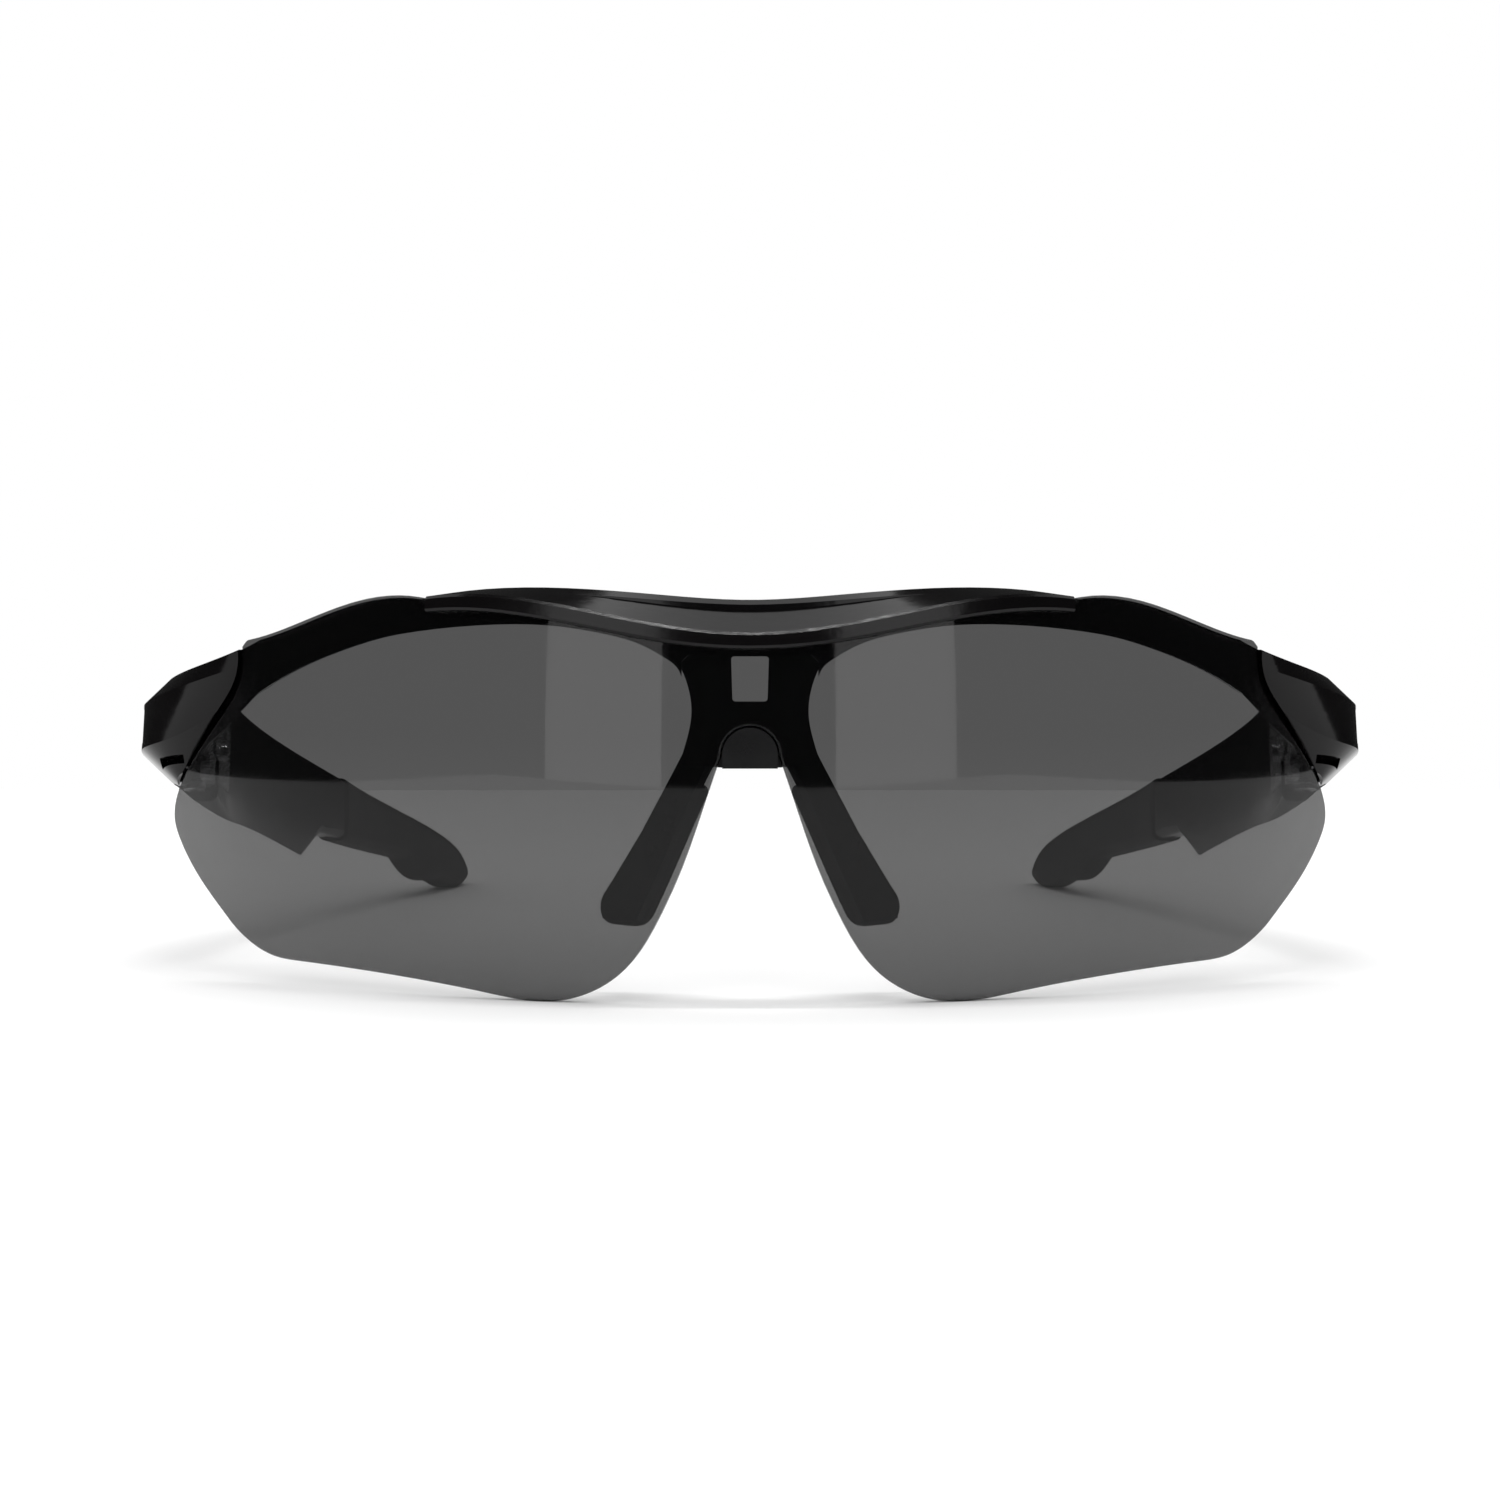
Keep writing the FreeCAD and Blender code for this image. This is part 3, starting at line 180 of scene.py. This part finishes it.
GLOSS_DARK, GLOSS_LIGHT = (0.0022, 0.002, 0.0022), (0.0036, 0.0032, 0.0034)
SATIN_DARK, SATIN_LIGHT = (0.0022, 0.0022, 0.0025), (0.0035, 0.0035, 0.0038)
RUBBER_DARK, RUBBER_LIGHT = (0.005, 0.005, 0.0053), (0.007, 0.007, 0.0073)
INLAY_DARK, INLAY_LIGHT = (0.03, 0.03, 0.031), (0.038, 0.038, 0.039)
DARK_NICKEL, DARK_NICKEL_WORN = (0.28, 0.28, 0.29), (0.36, 0.36, 0.37)
NICKEL, NICKEL_WORN = (0.5, 0.5, 0.51), (0.58, 0.58, 0.59)


def make_materials():
    gloss = plastic("gloss_black", GLOSS_DARK, GLOSS_LIGHT, (0.1, 0.17), specular=0.2)
    satin = plastic("satin_black", SATIN_DARK, SATIN_LIGHT, (0.26, 0.36), specular=0.22)
    grain = (RUBBER_GRAIN, RUBBER_GRAIN_DEPTH)
    rubber = plastic("soft_rubber", RUBBER_DARK, RUBBER_LIGHT, (0.55, 0.68), *grain, specular=0.25)
    inlay = plastic("inlay_grey", INLAY_DARK, INLAY_LIGHT, (0.3, 0.4))
    dark_steel = metal("dark_nickel", DARK_NICKEL, DARK_NICKEL_WORN, (0.22, 0.34))
    steel = metal("bright_nickel", NICKEL, NICKEL_WORN, (0.18, 0.3))
    assign(gloss, "brow_frame")
    assign(satin, "nose_bridge")
    assign(steel, "front_leaf_screws")
    assign(smoked_lens(), "shield_lens")
    for side in ("left", "right"):
        assign(gloss, "endpiece_" + side, "temple_" + side)
        assign(rubber, "nose_pad_" + side, "temple_tip_" + side)
        assign(inlay, "side_inlay_" + side)
        assign(dark_steel, "front_hinge_" + side, "temple_hinge_" + side)
        assign(steel, "hinge_screw_" + side, "temple_leaf_screw_" + side)


# ---------------------------------------------------------------- floor and light
# The edges of the paper, in metres: beyond them the room is dim in a reflection.
PAPER_FRONT = -0.56
PAPER_BACK = 0.295
PAPER_HALF = 0.5
PAPER_DARK, PAPER_LIGHT = (0.96, 0.96, 0.96), (0.98, 0.98, 0.98)
PAPER_CLOUD_SCALE = 3.0
# Place, aim, size (width, height) in metres and radiance of each softbox.
SOFTBOXES = {
    "top_softbox": ((0.0, 0.5, 0.95), (0.0, -0.05, 0.03), (2.4, 0.6), 1.2),
    "strip_light": ((0.0, -0.06, 0.95), (0.0, -0.06, 0.03), (0.5, 0.02), 75.0),
    "left_panel": ((-0.79, -1.7, 0.75), (-0.79, 0.0, 0.75), (0.72, 1.7), 2.2),
    "right_panel": ((0.79, -1.7, 0.75), (0.79, 0.0, 0.75), (0.72, 1.7), 2.2),
}
ROOM_GREY = 0.03
SKY_WHITE = 0.72


def make_floor():
    """A sheet of white paper."""
    near = (-PAPER_HALF, PAPER_FRONT), (PAPER_HALF, PAPER_FRONT)
    far = (PAPER_HALF, PAPER_BACK), (-PAPER_HALF, PAPER_BACK)
    mesh = bpy.data.meshes.new("floor")
    mesh.from_pydata([(x, y, 0.0) for x, y in near + far], [], [(0, 1, 2, 3)])
    floor = bpy.data.objects.new("floor", mesh)
    scene.collection.objects.link(floor)
    n = Nodes("floor_paper")
    white = n.colour(n.noise(PAPER_CLOUD_SCALE, 2.0), PAPER_DARK, PAPER_LIGHT)
    n.link(white, n.shader.inputs["Base Color"])
    n.shader.inputs["Roughness"].default_value = 0.9
    n.shader.inputs["Specular IOR Level"].default_value = 0.0
    mesh.materials.append(n.material)


def softbox(name, place, target, width, height, radiance):
    data = bpy.data.lights.new(name, "AREA")
    data.shape = "RECTANGLE"
    data.size = width
    data.size_y = height
    data.energy = radiance * math.pi * width * height
    light = bpy.data.objects.new(name, data)
    light.location = place
    aim = Vector(target) - Vector(place)
    light.rotation_euler = aim.to_track_quat("-Z", "Y").to_euler()
    scene.collection.objects.link(light)


def make_world():
    """A white sky that lights the scene softly, and a dim grey room in the gloss."""
    world = bpy.data.worlds.new("studio")
    scene.world = world
    world.use_nodes = True
    tree = world.node_tree
    sky = tree.nodes["Background"]
    sky.inputs["Color"].default_value = (SKY_WHITE, SKY_WHITE, SKY_WHITE, 1.0)
    backdrop = tree.nodes.new("ShaderNodeBackground")
    backdrop.inputs["Color"].default_value = (1.0, 1.0, 1.0, 1.0)
    room = tree.nodes.new("ShaderNodeBackground")
    room.inputs["Color"].default_value = (ROOM_GREY, ROOM_GREY, ROOM_GREY, 1.0)
    rays = tree.nodes.new("ShaderNodeLightPath")
    in_gloss = tree.nodes.new("ShaderNodeMixShader")
    in_view = tree.nodes.new("ShaderNodeMixShader")
    tree.links.new(rays.outputs["Is Glossy Ray"], in_gloss.inputs["Fac"])
    tree.links.new(sky.outputs["Background"], in_gloss.inputs[1])
    tree.links.new(room.outputs["Background"], in_gloss.inputs[2])
    tree.links.new(rays.outputs["Is Camera Ray"], in_view.inputs["Fac"])
    tree.links.new(in_gloss.outputs["Shader"], in_view.inputs[1])
    tree.links.new(backdrop.outputs["Background"], in_view.inputs[2])
    tree.links.new(in_view.outputs["Shader"], tree.nodes["World Output"].inputs["Surface"])


def make_light():
    make_world()
    for name, (place, target, (width, height), radiance) in SOFTBOXES.items():
        softbox(name, place, target, width, height, radiance)
    scene.view_settings.view_transform = "Standard"


make_camera()
make_materials()
make_floor()
make_light()
